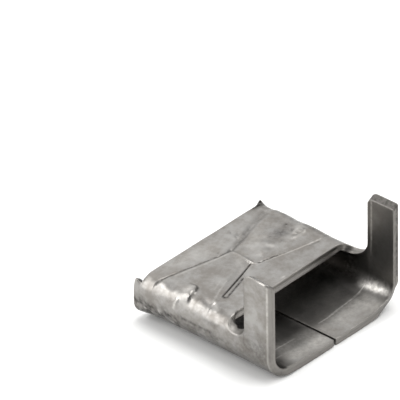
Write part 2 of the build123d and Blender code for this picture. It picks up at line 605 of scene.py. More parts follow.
@dataclass(frozen=True)
class Marks:
    """All that the press, the bending and the tumbling with others left on the strip, with painted shade and
    painted highlights among its darkening and brightening.
    """

    cross: PressedCross = PressedCross()
    creases: tuple[Crease, ...] = (
        # The rear crease, with painted shade: a fine dark foot on the left with a painted highlight in front
        # of it, which turns into a broad darkened valley on the right
        Crease(
            (
                (-11.1, 8.36), (-10.6, 8.2), (-9.9, 8.0), (-7.5, 7.47), (-4.85, 6.86), (-2.2, 6.28),
                (-0.6, 6.0), (0.5, 6.0),
            ),
            -0.06, 0.15, grime_and_shade=0.6,
        ),
        Crease(((-10.5, 8.18), (-9.9, 8.0), (-8.2, 7.62)), -0.04, 0.13, grime_and_shade=0.8),
        Crease(((-2.4, 6.32), (-1.2, 6.08), (-0.3, 5.98), (0.3, 6.0)), -0.02, 0.15, grime_and_shade=0.6),
        Crease(((-8.7, 7.3), (-4.85, 6.45), (-2.2, 5.88), (-0.6, 5.62)), 0.04, 0.15, shine=0.4),
        Crease(
            ((0.2, 5.95), (1.0, 6.08), (2.2, 6.45), (3.8, 6.95), (5.9, 7.64), (8.3, 8.28), (9.5, 8.55)),
            -0.14, 0.4, grime_and_shade=0.14,
        ),
        Crease(
            ((0.2, 5.95), (1.44, 6.25), (2.53, 6.58), (3.8, 7.04), (5.2, 7.47)), -0.03, 0.2, grime_and_shade=0.4
        ),
        Crease(((5.2, 7.47), (6.95, 8.03), (8.0, 8.3)), -0.02, 0.2, grime_and_shade=0.2),
        # Ridge along the waist, with a painted highlight along it, brightest at its front end
        Crease(((-0.1, 5.6), (-0.02, 4.6), (-0.1, 3.4), (-0.3, 2.3)), 0.08, 0.2, shine=0.15),
        Crease(((-0.25, 2.6), (-0.35, 2.2)), 0.08, 0.16, shine=0.9),
        # Soft crest behind the left front crease, with a faint painted highlight
        Crease(((-0.2, 3.1), (-2.0, 2.75), (-3.9, 2.15), (-6.0, 1.9)), 0.04, 0.35, shine=0.12),
        # Two lines of the left front crease darkened with painted shade, with a painted highlight on the
        # strip between them
        Crease(((-0.4, 2.1), (-2.2, 1.48), (-6.1, 0.36), (-8.2, -0.22)), -0.04, 0.12, grime_and_shade=0.9),
        Crease(((-0.6, 1.75), (-2.6, 1.2), (-4.2, 0.7)), 0.03, 0.14, shine=0.3),
        Crease(
            ((-3.6, 0.56), (-5.9, -0.14), (-7.3, -0.56), (-8.0, -0.76), (-8.35, -0.5)),
            -0.04, 0.14, grime_and_shade=0.9,
        ),
        Crease(((-4.6, 0.54), (-6.4, 0.0), (-7.9, -0.43)), 0.03, 0.13, shine=0.5),
        # Painted highlight on the lip of the right front crease, broken by small darkened pits
        Crease(((-0.4, 1.25), (0.7, 1.12), (1.6, 0.95), (5.7, -0.05), (9.5, -0.75)), 0.02, 0.1, shine=0.25),
        Crease(
            ((0.3, 1.5), (0.9, 1.3), (1.3, 1.35), (1.9, 1.12), (2.4, 1.13), (3.1, 0.87)),
            -0.05, 0.12, grime_and_shade=0.75,
        ),
        Crease(((7.4, -0.75), (8.8, -1.0)), -0.03, 0.16, grime_and_shade=0.3),
        # Ring of the small crater on the right panel, with a painted highlight
        Crease(
            (
                (9.6, 2.7), (9.0, 3.0), (8.4, 2.8), (8.2, 2.3), (8.6, 1.85), (9.3, 1.8), (9.7, 2.2),
                (9.6, 2.7),
            ),
            0.06, 0.17, shine=0.5,
        ),
        # Faint pulled lines beside the left front crease and a spot at its end, with painted highlights
        Crease(((-5.2, 1.75), (-7.4, 1.0), (-9.5, 0.05)), 0.03, 0.12, shine=0.35),
        Crease(((-5.9, 2.3), (-8.0, 1.5)), 0.02, 0.1, shine=0.2),
        Crease(((-9.9, -0.3), (-10.9, -1.5)), 0.05, 0.3, shine=0.7),
        # Dark streaks and a light fleck low on the left wall
        Crease(((-13.9, 3.4), (-13.95, 1.7), (-13.97, -0.3), (-13.85, -1.6)), -0.03, 0.17, grime_and_shade=0.6),
        Crease(
            ((-14.3, 10.3), (-14.4, 8.8), (-14.7, 7.6), (-14.85, 6.8), (-14.7, 6.0), (-14.4, 4.4)),
            -0.03, 0.26, grime_and_shade=0.7,
        ),
        Crease(((-14.1, 9.6), (-14.05, 8.6)), -0.02, 0.16, grime_and_shade=0.5),
        Crease(((-14.3, 5.6), (-14.5, 4.9)), 0.04, 0.14, shine=0.7),
        # Upright ridge on the left bend, with a painted highlight
        Crease(((-11.6, 4.4), (-13.0, 4.66)), 0.12, 0.16, shine=0.8),
    )
    dents: tuple[Dent, ...] = (
        # Dents and bumps; painted shade by the right nub and low on the left wall's front, and a painted
        # highlight on the tooth
        Dent(-1.3, 4.1, 1.2, 0.8, 10, -0.07),
        Dent(9.9, 10.5, 1.1, 0.5, 0, -0.03, grime_and_shade=1.2),
        Dent(11.1, 11.0, 0.6, 0.4, 0, 0.0, grime_and_shade=1.1),
        Dent(-9.9, 4.0, 1.1, 0.6, 10, 0.0, shine=0.55),
        Dent(-13.4, -9.3, 2.6, 3.4, 0, 0.0, grime_and_shade=0.42),
        # Stretches of the left bend dulled with painted shade
        Dent(-10.6, -1.7, 1.1, 1.3, 0, 0.0, grime_and_shade=0.3),
        Dent(-11.6, -3.5, 0.7, 0.4, 0, 0.0, grime_and_shade=0.4),
        Dent(-12.6, -1.6, 0.5, 1.3, 0, 0.0, grime_and_shade=0.28),
        Dent(-10.5, 1.4, 0.7, 1.5, 0, 0.0, grime_and_shade=0.26),
        Dent(-10.9, 7.3, 0.6, 1.2, 0, 0.0, grime_and_shade=0.15),
        Dent(-11.4, 10.2, 0.5, 0.2, 0, -0.03, grime_and_shade=0.7),
        Dent(10.8, 7.0, 1.6, 4.8, 0, -0.13),
        Dent(10.7, 7.0, 0.9, 1.2, 0, 0.09),
        Dent(10.9, 4.8, 0.8, 0.45, 0, -0.05),
        # Painted light and painted shade, most of it on the right panel, with darkened pits
        Dent(3.6, 5.2, 2.4, 0.8, 35, 0.03, shine=0.3),
        Dent(-1.8, 2.6, 2.6, 0.55, 42, 0.0, shine=0.3),
        Dent(7.2, 4.0, 1.7, 0.9, 10, -0.04, grime_and_shade=0.55),
        Dent(5.5, -2.4, 5.0, 1.8, 0, 0.0, grime_and_shade=0.08),
        Dent(-4.0, 8.7, 5.0, 1.5, -12, 0.0, shine=0.3),
        Dent(9.0, 2.9, 1.6, 0.25, 12, 0.06, shine=0.5),
        Dent(-10.5, 6.3, 0.9, 0.6, 60, -0.14, grime_and_shade=0.3),
        Dent(3.3, 7.75, 0.35, 0.28, 0, -0.08, grime_and_shade=0.4),
        Dent(2.8, 7.6, 0.4, 0.1, 60, -0.05, grime_and_shade=0.4),
        Dent(3.1, 8.8, 0.4, 0.14, 60, -0.05, grime_and_shade=0.4),
        Dent(-1.4, 6.75, 0.15, 0.12, 0, -0.05, grime_and_shade=0.6),
        Dent(9.1, 4.75, 0.5, 0.12, 10, -0.12, grime_and_shade=0.7),
        Dent(9.05, 2.4, 0.3, 0.22, 0, 0.1, shine=0.5),
        Dent(8.7, 3.35, 0.5, 0.2, 20, -0.1, grime_and_shade=0.5),
        Dent(8.1, 2.2, 0.7, 0.2, -20, -0.08, grime_and_shade=0.4),
        Dent(9.75, 2.35, 0.3, 0.2, 0, -0.08, grime_and_shade=0.5),
        Dent(7.8, 1.95, 0.9, 0.2, -15, 0.06, shine=0.5),
        Dent(6.0, 2.7, 0.4, 0.3, 0, -0.06, grime_and_shade=0.3),
        Dent(7.7, 3.3, 0.6, 0.45, 0, -0.08, grime_and_shade=0.25),
        Dent(5.6, 4.4, 0.3, 0.12, 0, -0.05, grime_and_shade=0.5),
        Dent(10.55, 1.4, 0.2, 0.15, 0, -0.06, grime_and_shade=0.5),
        Dent(9.55, 0.45, 0.2, 0.12, 0, -0.06, grime_and_shade=0.5),
        # Darkened pits behind the right front crease, and a painted highlight on the roof's front edge
        Dent(0.6, 1.4, 0.2, 0.1, -15, -0.05, grime_and_shade=0.55),
        Dent(1.2, 1.3, 0.16, 0.1, 10, -0.05, grime_and_shade=0.55),
        Dent(1.75, 1.13, 0.2, 0.1, -15, -0.05, grime_and_shade=0.55),
        Dent(2.3, 1.05, 0.16, 0.1, 10, -0.05, grime_and_shade=0.6),
        Dent(2.9, 0.84, 0.2, 0.1, -15, -0.04, grime_and_shade=0.6),
        Dent(3.5, 0.75, 0.16, 0.1, 10, -0.04, grime_and_shade=0.5),
        Dent(4.1, 0.55, 0.2, 0.1, -15, -0.04, grime_and_shade=0.5),
        Dent(4.7, 0.44, 0.16, 0.1, 10, -0.04, grime_and_shade=0.4),
        Dent(-0.15, -3.1, 0.35, 0.16, 0, 0.03, shine=0.9),
    )
    right_crumple: float = 0.125
    wall_swell: float = 0.04
    bend_swell: float = 0.028
    crown: float = 0.02
    crown_reach: float = 10.5
    sag: float = 0.2
    groove_depth: float = 0.12
    groove_grime_and_shade: float = 0.25
    tooth_rise: float = 0.3
    tooth_nose: Points = ((-12.0, 2.5), (-10.0, 2.65), (-9.3, 2.9), (-8.9, 3.5))
    tooth_rear: Points = ((-12.0, 5.0), (-10.0, 5.0), (-8.9, 4.85))
    # Painted shade on the tooth's steep front face
    tooth_face: Crease = Crease(
        ((-9.0, 3.6), (-9.05, 3.2), (-9.5, 2.85), (-10.5, 2.65)), 0.0, 0.16, grime_and_shade=0.55
    )
    flares: tuple[Dent, ...] = (
        Dent(-16.0, 11.2, 1.8, 1.6, 0, 0.4),
        Dent(18.4, -11.4, 1.5, 3.0, 0, -0.22),
    )
    curls: tuple[Dent, ...] = (
        Dent(-12.1, 11.3, 0.8, 0.8, 0, 0.55),
        Dent(11.2, 11.3, 0.85, 0.75, 0, 0.74),
    )
    scratches: tuple[Crease, ...] = (
        Crease(((16.8, -7.15), (26.5, -7.5)), 0.0, 0.1, shine=0.9),
        Crease(((-17.0, -7.6), (-24.5, -7.4)), 0.0, 0.1, shine=0.8),
        Crease(((-18.5, -8.9), (-21.5, -9.0)), 0.0, 0.1, shine=0.6),
    )
    # Painted highlight patch on the inner face of the right bend
    painted_highlight_patch: Dent = Dent(15.95, -8.7, 1.25, 2.0, -14, 0.0, shine=1.0)

    def tooth(self, s: Values, y: Values) -> Values:
        """Gives the height of the raised tooth on the left bend, steep towards the front."""
        risen = smooth((y - along(self.tooth_nose, s)) / 0.24)
        behind = smooth((along(self.tooth_rear, s) - y) / 1.8)
        inward = zone(s, y, inner=(8.85, 0.45), outer=(12.1, 1.5), side=-1)
        return self.tooth_rise * inward * risen * behind

    def low_rear(self, s: Values, y: Values) -> Values:
        """Gives how much of the low rear of the walls is at a place."""
        return zone(s, y, inner=(13.6, 0.8), front=(2.0, 3.0))

    def outer(self, s: Values, y: Values) -> tuple[Values, Values, Values]:
        """Works out the outer face's relief and wear, with its painted shade and highlights.

        Args:
            s: Places across the strip.
            y: Places along the sleeve.

        Returns:
            Height, darkening with painted shade, and brightening with painted highlights, at each place.
        """
        groove = self.cross.groove(s, y)
        crown = self.crown * np.maximum(1.0 - (s / self.crown_reach) ** 2, 0.0)
        height = self.cross.lift(s, y, 0.0) - self.groove_depth * groove
        height += crown * zone(s, y, front=(-4.4, 0.6))
        # The pinched groove is darkened, with soiling and painted shade
        grime_and_shade = self.groove_grime_and_shade * groove
        shine = np.zeros_like(s)
        nearer = height.copy()
        for mark in (*self.creases, *self.dents):
            weight = mark.weight(s + nearer, y + nearer)
            height += mark.lift * weight
            grime_and_shade = np.maximum(grime_and_shade, mark.grime_and_shade * weight)
            shine = np.maximum(shine, mark.shine * weight)
        bends = zone(s, y, inner=(10.0, 0.8), outer=(13.0, 0.8), front=(-4.4, 0.6))
        # Painted highlight flecks along the top bends
        specks = smooth(1.6 * ripple(s, y * 0.6, 0.5, 71.0) + 0.8 * ripple(s, y, 1.6, 77.0))
        flecks = smooth(2.5 * ripple(s, y * 0.8, 0.55, 97.0) - 0.4)
        flecks *= self.low_rear(s, y)
        shine = most(shine, 0.3 * specks * bends, 0.7 * flecks * zone(s, y, outer=(16.5, 1.0)))
        height += self.unevenness(s, y, bends)
        return height, self.stain_and_shade(s, y, grime_and_shade, flecks), shine

    def unevenness(self, s: Values, y: Values, bends: Values) -> Values:
        """Gives the walls' crumple, swell and sag, the bends' pits and the tooth.

        Args:
            s: Places across the strip.
            y: Places along the sleeve.
            bends: How much of the top bends is at each place.

        Returns:
            Heights that are added to the outer face.
        """
        top = zone(s, y, outer=(13.2, 1.5), front=(-4.4, 0.6))
        panel = zone(s, y, inner=(0.5, 1.5), outer=(11.5, 2), front=(0.8, 1.5), rear=(9, 2), side=1)
        coarse = ripple(s * 0.7, y * 1.3 + s * 0.2, 1.7, 3.0)
        coarse = coarse + 0.5 * ripple(s * 0.6, y + s * 0.1, 0.8, 8.0)
        pitting = ripple(s, y * 0.6, 1.5, 41.0) + 0.4 * ripple(s, y, 0.6, 57.0)
        height = (self.right_crumple * panel * coarse + self.wall_swell * ripple(s, y, 4.5, 14.0)) * top
        height += self.bend_swell * pitting * bends
        height += self.sag * zone(s, y, inner=(15.5, 4.0), outer=(26.0, 5.0), rear=(-5.0, 4.0))
        return height + self.tooth(s, y)

    def stain_and_shade(self, s: Values, y: Values, grime_and_shade: Values, flecks: Values) -> Values:
        """Adds painted shade low on the walls and bends, and the stains low at the rear, and takes off what
        the flecks lost.

        Args:
            s: Places across the strip.
            y: Places along the sleeve.
            grime_and_shade: Darkening of the creases and dents: soiling and painted shade.
            flecks: How much of the bright flecks, low at the rear, is at each place.

        Returns:
            The outer face's soiling and painted shade.
        """
        blotches = ripple(s, y, 1.3, 21.0) + 0.6 * ripple(s, y, 0.45, 33.0)
        # Painted shade low on the walls, mottled, lighter towards the front
        low = zone(s, y, inner=(13.0, 1.2), outer=(18.5, 2.0)) * (1 - 0.4 * zone(s, y, rear=(0.0, 9.0)))
        low *= 0.12 + 0.3 * smooth(0.5 + 1.2 * blotches)
        # Painted shade on the bottom bends, which face the floor
        under = 0.55 * zone(s, y, inner=(14.8, 1.8), outer=(20.0, 2.0))
        stains = smooth(0.42 + 1.6 * ripple(s, y * 0.7, 1.1, 91.0) + ripple(s, y, 0.45, 95.0))
        stains *= self.low_rear(s, y) * np.where(s < 0, 0.8, 0.4) * (1 - 0.65 * zone(s, y, inner=(16.0, 4.5)))
        grime_and_shade = most(grime_and_shade, low, under, stains) * (1 - 0.8 * flecks)
        # Painted shade on the tooth's face, and on the left from the bottom bend on
        tooth = self.tooth_face.grime_and_shade * self.tooth_face.weight(s, y)
        return most(grime_and_shade, tooth, 0.17 * zone(s, y, inner=(16.4, 1.4), side=-1))

    def inner(self, s: Values, y: Values) -> Values:
        """Gives the inner face's relief, which follows the die's cross alone."""
        return self.cross.lift(s, y, 0.5)

    def inner_shine(self, s: Values, y: Values) -> Values:
        """Gives the brightening of the inner face: a painted highlight patch in the right bend, and
        scratches.
        """
        mottle = 0.9 + 0.25 * ripple(s, y, 0.6, 51.0)
        patch = self.painted_highlight_patch.shine * self.painted_highlight_patch.weight(s, y) * mottle
        return most(patch, *(line.shine * line.weight(s, y) for line in self.scratches))

    def moved(self, dents: tuple[Dent, ...], s: Values, y: Values) -> Values:
        """Gives how far some of the marks move the strip's whole thickness."""
        return sum(dent.lift * dent.weight(s, y) for dent in dents)


# The buckle


@dataclass
class StripPoints:
    """The points of the flat strip, and the wear, painted shade and painted highlights that each of them
    gets.

    They lie at s across the strip, y along it and, from 0 to 1, below its outer face. The rest is
    measured from these: distances from the blank's edges, and where the rim and the ears are.
    """

    blank: Blank
    s: Values
    y: Values
    below: Values
    margin: float
    tip_width: float = 0.35

    def __post_init__(self) -> None:
        """Measures the points from the blank's edges."""
        s, y, blank, left = self.s, self.y, self.blank, self.s < 0
        self.depth = np.maximum(blank.depth(s, y), 0.0)
        self.behind_front = y - blank.front
        self.behind_roof = y - blank.top_front(s)
        self.to_back = blank.ear_back(s) - y
        self.past_tip = blank.past_tip(s, y)
        self.on_ear = (self.to_back > -self.margin) & (np.abs(s) < blank.sleeve.bend_end)
        self.rim = (self.below > 0.01) & (self.below < 0.99)
        self.outside = self.below < 0.05
        self.inside = self.below > 0.95
        self.roof_rim = self.rim & ~self.on_ear & (np.abs(s) < 10.0) & (y < 0.0)
        self.front_rim = self.rim & (self.behind_front < 0.5) & (left | (s > 17.0))
        near_slot = self.rim & (self.behind_roof < 0.3) & (self.to_back < 0.3)
        self.slot_floor = near_slot * self.zone(inner=(10.2, 0.6), outer=(13.0, 0.3), side=-1)
        self.slot_rear = self.slot_floor * self.zone(outer=(11.9, 0.4))
        tip = smooth(1.0 - self.past_tip / self.tip_width) * self.zone(rear=(-8.2, 1.8))
        self.left_tip = tip * self.on_ear * left
        self.tip_rim = self.left_tip * (self.below < 0.3)
        clear_of_slot = self.zone(outer=(blank.sleeve.bend_end - 1.5, 2.5))
        self.right_shank = clear_of_slot * self.on_ear * ~left

    def zone(self, rear_by: Values | None = None, **bounds: Bound | int) -> Values:
        """Gives how much of a zone is at each point, along the sleeve or by another measure."""
        return zone(self.s, self.y if rear_by is None else rear_by, **bounds)

    def rim_grime_and_shade(self) -> Values:
        """Gives the rim's darkening: along the line where the shear tore the steel, and painted shade on the
        ears', nubs', slot's and roof's rims.
        """
        s, y, below, ear = self.s, self.y, self.below, self.rim & self.on_ear
        tear = bell(below - 0.55 - 0.12 * ripple(s, y, 1.1, 5.0), 0.1)
        torn = (0.42 * tear + 0.25 * smooth(ripple(s, y, 0.7, 61.0))) * self.rim
        # Painted shade on the right ear's rims and the ear tips, the rims by the nubs, the left slot's rear
        # and a line on the roof's rim
        torn = np.where(ear & (s > 0), np.where(below < 0.5, 0.7, 0.3) + 0.3 * torn, torn)
        torn = np.where(ear & (self.past_tip < self.tip_width), 0.55, torn)
        torn = np.where(self.rim & (np.abs(s) > 10.9) & (y > 10.0) & (y < 11.2), 0.8, torn)
        torn = np.maximum(torn * (1 - self.slot_floor), 0.5 * self.slot_rear)
        torn = np.where(self.roof_rim, 0.1 * torn + 0.14 * bell(below - 0.4, 0.06), torn)
        torn = np.where(self.front_rim, 0.55 * torn, torn)
        return torn * (1 - self.tip_rim)

    def rim_shine(self) -> Values:
        """Gives the rim's brightening: burnished where the shear cut it smooth, and painted light and
        highlights.
        """
        s, y, below = self.s, self.y, self.below
        # Painted light on the left slot's floor and painted highlights on the roof's rim, the rim by the
        # right slot, the right front rim and the left ear's tip
        floor = self.slot_floor - self.slot_rear
        roof = (0.8 + 0.5 * smooth((below - 0.5) / 0.15)) * self.roof_rim
        roof *= smooth(0.7 + ripple(s, below * 2.0, 0.7, 101.0))
        speckled = self.rim & (s > 9.6) & (s < 12.6) & (y < -3.5) & (y > -6.0)
        speckles = speckled * smooth(2.5 * ripple(s, below, 0.4, 103.0))
        front = 0.3 * (self.front_rim & (s > 17.0))
        return most(floor, roof, front, speckles, 1.2 * self.tip_rim)

    def inner_painted_shade(self) -> Values:
        """Gives the painted shade inside the sleeve: walls, bends, the far floor and a line of the lip."""
        wall = self.zone(inner=(11.0, 1.0), outer=(17.5, 2.0), front=(-7.0, 2.5))
        wall *= 0.8 + 0.8 * self.zone(front=(-4.5, 2.0))
        roof_bend = self.zone(inner=(8.5, 1.5), outer=(14.0, 1.0), front=(-4.4, 1.0))
        front_bend = self.zone(inner=(13.2, 1.0), outer=(21.5, 3.0), side=-1)
        front_bend *= 1 - 0.7 * self.zone(rear=(-9.8, 1.0)) * (self.s < -19.0)
        lip = self.zone(inner=(13.8, 0.6), outer=(17.6, 0.8), side=1)
        lip *= bell(self.behind_front - 0.25, 0.25)
        far_floor = self.zone(front=(-4.5, 2.5)) * (self.s < -16.0)
        dark = most(wall, 1.6 * roof_bend, 0.65 * front_bend, 0.5 * lip, 0.7 * far_floor)
        return dark * self.inside

    def open_floor(self) -> Values:
        """Gives how much of the floor that is open to the light is at each point."""
        left = 0.54 * self.zone(front=(-9.8, 1.4)) + 0.3 * self.zone(front=(-8.0, 1.8))
        left *= 1 + 0.15 * self.zone(inner=(23.0, 2.0), side=-1)
        right = 0.86 * self.zone(front=(-8.9, 2.2))
        right -= 0.18 * self.zone(front=(-5.6, 3.5)) + 0.07 * self.zone(front=(-3.0, 2.0))
        left = self.zone(inner=(19.0, 3.0)) * (1 - left)
        right = self.zone(inner=(16.6, 2.9)) * (1 - right)
        return np.where(self.s < 0, left, right)

    def broken(self) -> Values:
        """Gives how an edge's bright line comes and goes."""
        return 0.5 + 0.5 * smooth(0.5 + 1.5 * ripple(self.s, self.y, 0.5, 67.0))

    def edge_shine(self) -> Values:
        """Gives the painted highlight along the outer face's rolled edges, and the front band, partly
        burnished wear and partly painted highlight.
        """
        corner = 0.7 * bell(self.depth, 0.12) * self.outside * self.broken()
        front = 0.75 * self.zone(self.behind_front, rear=(0.5, 0.25))
        return most(corner, front * (np.abs(self.s) < np.where(self.s < 0, 17.0, 18.8)))

    def inner_shine(self) -> Values:
        """Gives the painted highlights of the inner face's edges and of the ear's ridge, and painted light on
        the open floor.
        """
        tip = self.on_ear & (self.past_tip < 0.5)
        tip_broken = 1.3 * smooth(0.5 + 3.0 * ripple(self.s, self.y, 0.35, 83.0))
        corner = 0.75 * bell(self.depth, 0.1) * self.inside
        corner *= np.where(tip, tip_broken, self.broken())
        left = 0.25 + 0.35 * self.zone(front=(-11.2, 1.0))
        right = 0.06 + 0.36 * self.zone(front=(-11.2, 2.8))
        floor = np.where(self.s < 0, left, right) + 0.3 * bell(self.s - 19.8, 1.2)
        ridge = 0.7 * bell(self.to_back - 0.72, 0.14) * self.right_shank
        return most(corner, floor * self.open_floor(), ridge)

    def fields(self, marks: Marks, grime_and_shade: Values, shine: Values) -> dict[Field, Values]:
        """Works out all that the finish reads.

        Args:
            marks: The marks, for the inner face's own.
            grime_and_shade: Soiling and painted shade of the outer face.
            shine: Burnished wear and painted highlights of the outer face.

        Returns:
            The values of each field at each point.
        """
        below, outer = self.below, 1.0 - self.below
        # Painted shade along the left ear's rear edge
        ear_rear_shade = 0.4 * bell(self.to_back, 0.16) * self.on_ear * (self.s < 0) * self.outside
        inside = np.maximum(self.inner_shine(), marks.inner_shine(self.s, self.y))
        # The ears' inner faces get less of the painted inner shade
        ear_face = 0.5 * self.zone(outer=(15.3, 2.4), rear=(-6.8, 0.8))
        ear_face *= 1 - 0.6 * self.zone(outer=(8.0, 5.0))
        return {
            Field.EDGE: np.exp(-self.depth / 0.15),
            Field.GRIME_AND_SHADE: most(grime_and_shade * outer, self.rim_grime_and_shade(), self.inner_painted_shade(), ear_rear_shade),
            Field.BURNISH_AND_HIGHLIGHT: most(most(shine, self.edge_shine()) * outer, inside * below, self.rim_shine()),
            # Painted shade over the inner face, less on the open floor and the ears' faces
            Field.INSIDE: below * (1 - self.open_floor()) * (1 - ear_face),
        }


@dataclass
class Buckle:
    """The one piece: a strip punched, thickened, pressed and wrapped into a sleeve."""

    blank: Blank
    marks: Marks = field(default_factory=Marks)
    sheet: float = 1.0
    outer_roll: float = 0.13
    inner_roll: float = 0.06
    fine_cell: float = 0.145
    coarse_cell: float = 0.32
    fine_reach: float = 13.6
    edge_rows: tuple[float, ...] = (0.5, 0.15, 0.0)
    evened_rows: int = 5
    rim_rows: int = 8
    smooth_angle: float = math.radians(40)
    tip_fall: float = 0.5
    tip_run: float = 3.0
    tip_wear: float = 0.13
    left_ease: float = 0.13
    right_ease: float = 0.026
    slot_wear: float = 0.08
    left_slope: float = 0.34
    right_slope: float = 0.306
    roof_slope: float = 0.22
    slope_width: float = 1.2
    taper: float = 0.7
    taper_middle: float = -10.9
    bevel: float = 0.1
    bevel_width: float = 0.8

    def punch(self) -> bpy.types.Object:
        """Punches the flat blank.

        Returns:
            A flat sheet of even cells, whose last rows follow the cut edge.
        """
        sleeve, blank = self.blank.sleeve, self.blank
        reach = sleeve.half_strip - self.outer_roll
        depth = sleeve.length - 2 * self.outer_roll
        fine = round(2 * self.fine_reach / self.fine_cell)
        coarse = round((reach - self.fine_reach) / self.coarse_cell)
        columns = fine + 2 * coarse
        bpy.ops.mesh.primitive_grid_add(
            x_subdivisions=columns, y_subdivisions=round(depth / self.fine_cell), size=1
        )
        sheet = bpy.context.object
        sheet.name = "folded_strip"
        points = places(sheet.data)
        stops = np.array((-reach, -self.fine_reach, self.fine_reach, reach))
        shares = np.array((0, coarse, coarse + fine, columns)) / columns - 0.5
        points[:, 0] = np.interp(points[:, 0], shares, stops)
        points[:, 1] = self.marks.cross.follow(points[:, 0], points[:, 1] * depth)
        set_places(sheet.data, points)

        centres = np.empty(len(sheet.data.polygons) * 3)
        sheet.data.polygons.foreach_get("center", centres)
        centres = centres.reshape(-1, 3)
        pick(sheet, "FACE", blank.depth(centres[:, 0], centres[:, 1]) < self.outer_roll)
        bpy.ops.mesh.delete(type="FACE")

        self.pick_boundary(sheet)
        self.slide_selected(sheet, self.outer_roll)
        points = places(sheet.data)
        inside = blank.depth(points[:, 0], points[:, 1])
        evened = self.evened_rows * self.outer_roll
        pick(sheet, "VERT", (inside > self.outer_roll + 0.02) & (inside < evened))
        bpy.ops.mesh.vertices_smooth(factor=0.5, repeat=4)
        for row in self.edge_rows:
            self.pick_boundary(sheet)
            bpy.ops.mesh.extrude_region_move()
            self.slide_selected(sheet, row * self.outer_roll)
        return sheet

    def pick_boundary(self, sheet: bpy.types.Object) -> None:
        """Selects the sheet's open boundary in edit mode."""
        enter(sheet, "EDIT")
        bpy.ops.mesh.select_mode(type="EDGE")
        bpy.ops.mesh.select_all(action="DESELECT")
        bpy.ops.mesh.select_non_manifold()

    def slide_selected(self, sheet: bpy.types.Object, depth: float) -> None:
        """Slides the selected points of the sheet to a distance from the cut edge."""
        bpy.ops.object.mode_set(mode="OBJECT")
        chosen = np.empty(len(sheet.data.vertices), bool)
        sheet.data.vertices.foreach_get("select", chosen)
        points = places(sheet.data)
        s, y = self.blank.slide(points[chosen, 0], points[chosen, 1], depth)
        points[chosen, 0] = s
        points[chosen, 1] = y
        set_places(sheet.data, points)

    def thicken(self, sheet: bpy.types.Object) -> None:
        """Gives the flat sheet its thickness, with a few rows of faces across its rim."""
        enter(sheet, "OBJECT")
        solid = sheet.modifiers.new("thickness", "SOLIDIFY")
        solid.thickness = 1.0
        solid.offset = -1.0
        bpy.ops.object.modifier_apply(modifier=solid.name)
        height = places(sheet.data)[:, 2]
        ends = np.empty(len(sheet.data.edges) * 2, int)
        sheet.data.edges.foreach_get("vertices", ends)
        ends = ends.reshape(-1, 2)
        rungs = np.abs(height[ends[:, 0]] - height[ends[:, 1]]) > 0.5
        pick(sheet, "EDGE", rungs)
        bpy.ops.mesh.subdivide(number_cuts=self.rim_rows - 1)
        bpy.ops.mesh.select_all(action="SELECT")
        bpy.ops.mesh.normals_make_consistent(inside=False)
        bpy.ops.object.mode_set(mode="OBJECT")

    def rolled(self, depth: Values, radius: float) -> Values:
        """Gives how far a rolled edge falls away at a distance from the cut."""
        short = np.clip(radius - depth, 0.0, radius)
        return radius - np.sqrt(np.maximum(radius**2 - short**2, 0.0))

    def worn(self, strip: StripPoints) -> Values:
        """Gives how far the outer face leans away at the front, at the left slot and its ear's tip."""
        ease = strip.zone(strip.behind_front, inner=(1.0, 3.0), outer=(17.0, 2.0), rear=(0.85, 0.85))
        slot = strip.zone(strip.behind_roof, inner=(11.3, 0.8), rear=(0.6, 0.5), side=-1)
        slot *= strip.zone(strip.to_back, rear=(0.2, 0.3)) * smooth(1.0 - strip.depth / 0.3)
        ease *= np.where(strip.s < 0, self.left_ease, self.right_ease)
        return ease + self.slot_wear * slot + self.tip_wear * strip.left_tip

    def tapered(self, strip: StripPoints) -> tuple[Values, Values]:
        """Gives how far the left slot's inner edge reaches into the slot, as a punch leaves it.

        Args:
            strip: The points of the flat strip.

        Returns:
            Shift of each place of the inner face, across the strip and along the sleeve.
        """
        round_y = (self.blank.top_front(strip.s) + self.blank.ear_back(strip.s)) / 2
        to_s = np.maximum(self.taper_middle - strip.s, 0.0)
        to_y = np.minimum(round_y - strip.y, 0.0)
        near = strip.zone(
            strip.behind_roof, inner=(10.2, 1.2), outer=(14.4, 1.0), rear=(1.4, 0.6), side=-1
        )
        near *= smooth(1.0 - strip.depth / 1.5)
        reach = self.taper * near / np.maximum(np.hypot(to_s, to_y), 0.3)
        return 0.7 * to_s * reach, to_y * reach

    def sloped(self, strip: StripPoints) -> Values:
        """Gives how far the sheared front edges lie behind their inner corner."""
        ends = {"rear": (self.slope_width, self.slope_width)}
        left = self.left_slope * strip.zone(strip.behind_front, outer=(19.5, 2.0), **ends)
        right = self.right_slope * strip.zone(
            strip.behind_front, inner=(14.0, 1.5), outer=(20.0, 2.0), **ends
        )
        roof = self.roof_slope * strip.zone(strip.behind_roof, outer=(10.4, 1.2), **ends)
        roof *= (strip.behind_roof > -0.5) * (1 - smooth((strip.below - 0.4) / 0.6))
        return np.where(strip.s < 0, left, right) * (1 - strip.below) + roof

    def press_and_fold(self, sheet: bpy.types.Object) -> None:
        """Presses the marks into the flat strip, wraps it and brings it to metres."""
        sleeve, blank, marks = self.blank.sleeve, self.blank, self.marks
        flat = places(sheet.data)
        strip = StripPoints(blank, flat[:, 0], flat[:, 1], -flat[:, 2], self.outer_roll)
        s, y, below = strip.s, strip.y, strip.below
        relief, grime_and_shade, shine = marks.outer(s, y)
        proud = marks.moved(marks.flares, s, y)
        top = relief + proud - self.rolled(strip.depth, self.outer_roll) - self.worn(strip)
        bottom = marks.inner(s, y) + proud - self.sheet + self.rolled(strip.depth, self.inner_roll)
        bottom += self.bevel * smooth((self.bevel_width - strip.to_back) / 0.3) * strip.right_shank
        lift = top + (bottom - top) * below

